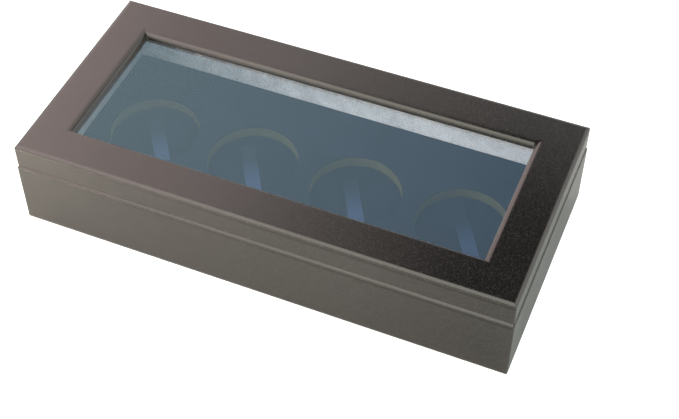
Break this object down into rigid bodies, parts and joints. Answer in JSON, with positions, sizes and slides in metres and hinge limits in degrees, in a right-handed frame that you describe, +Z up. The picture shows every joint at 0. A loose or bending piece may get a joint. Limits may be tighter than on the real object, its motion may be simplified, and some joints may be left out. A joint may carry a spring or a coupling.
{
  "type": "coin display box",
  "caption": "Low lacquered wooden case with a hinged, glazed lid over a velvet tray of round coin wells with lift ribbons",
  "frame": {"origin": "Middle of the underside, on the surface that the box rests on", "axes": "+X runs along the box to its right, -Y is the front where the lid opens, +Z is up"},
  "size_m": [0.2286, 0.108, 0.0477],
  "materials": {
    "lacquered_wood": "satin",
    "panel_wood": "matte",
    "felt": "matte",
    "lining_fabric": "matte",
    "foam": "matte",
    "tray_card": "matte",
    "velvet": "matte",
    "ribbon": "satin",
    "hinge_brass": "satin",
    "pin_steel": "satin",
    "glass": "gloss"
  },
  "bodies": {
    "base": {"base_front_wall": "lacquered_wood", "base_rear_wall": "lacquered_wood", "base_left_wall": "lacquered_wood", "base_right_wall": "lacquered_wood", "base_bottom_panel": "panel_wood", "bottom_felt": "felt", "lining_front": "lining_fabric", "lining_rear": "lining_fabric", "lining_left": "lining_fabric", "lining_right": "lining_fabric", "foam_filler": "foam", "floor_board": "tray_card", "floor_velvet": "velvet", "tray_board": "tray_card", "tray_velvet": "velvet", "lift_ribbon_1": "ribbon", "lift_ribbon_2": "ribbon", "lift_ribbon_3": "ribbon", "lift_ribbon_4": "ribbon", "hinge_left_base_leaf": "hinge_brass", "hinge_right_base_leaf": "hinge_brass", "hinge_left_pin": "pin_steel", "hinge_right_pin": "pin_steel", "hinge_screws_base": "hinge_brass"},
    "lid": {"lid_front_rail": "lacquered_wood", "lid_rear_rail": "lacquered_wood", "lid_left_stile": "lacquered_wood", "lid_right_stile": "lacquered_wood", "glass_pane": "glass", "glass_retainer_front": "lacquered_wood", "glass_retainer_rear": "lacquered_wood", "glass_retainer_left": "lacquered_wood", "glass_retainer_right": "lacquered_wood", "hinge_left_lid_leaf": "hinge_brass", "hinge_right_lid_leaf": "hinge_brass", "hinge_screws_lid": "hinge_brass"}
  },
  "joints": [
    {"name": "lid_hinge", "type": "hinge", "parent": "base", "child": "lid", "pos_m": [0, 0.05203, 0.0357], "axis": [-1, 0, 0], "range_deg": [0, 98]}
  ]
}
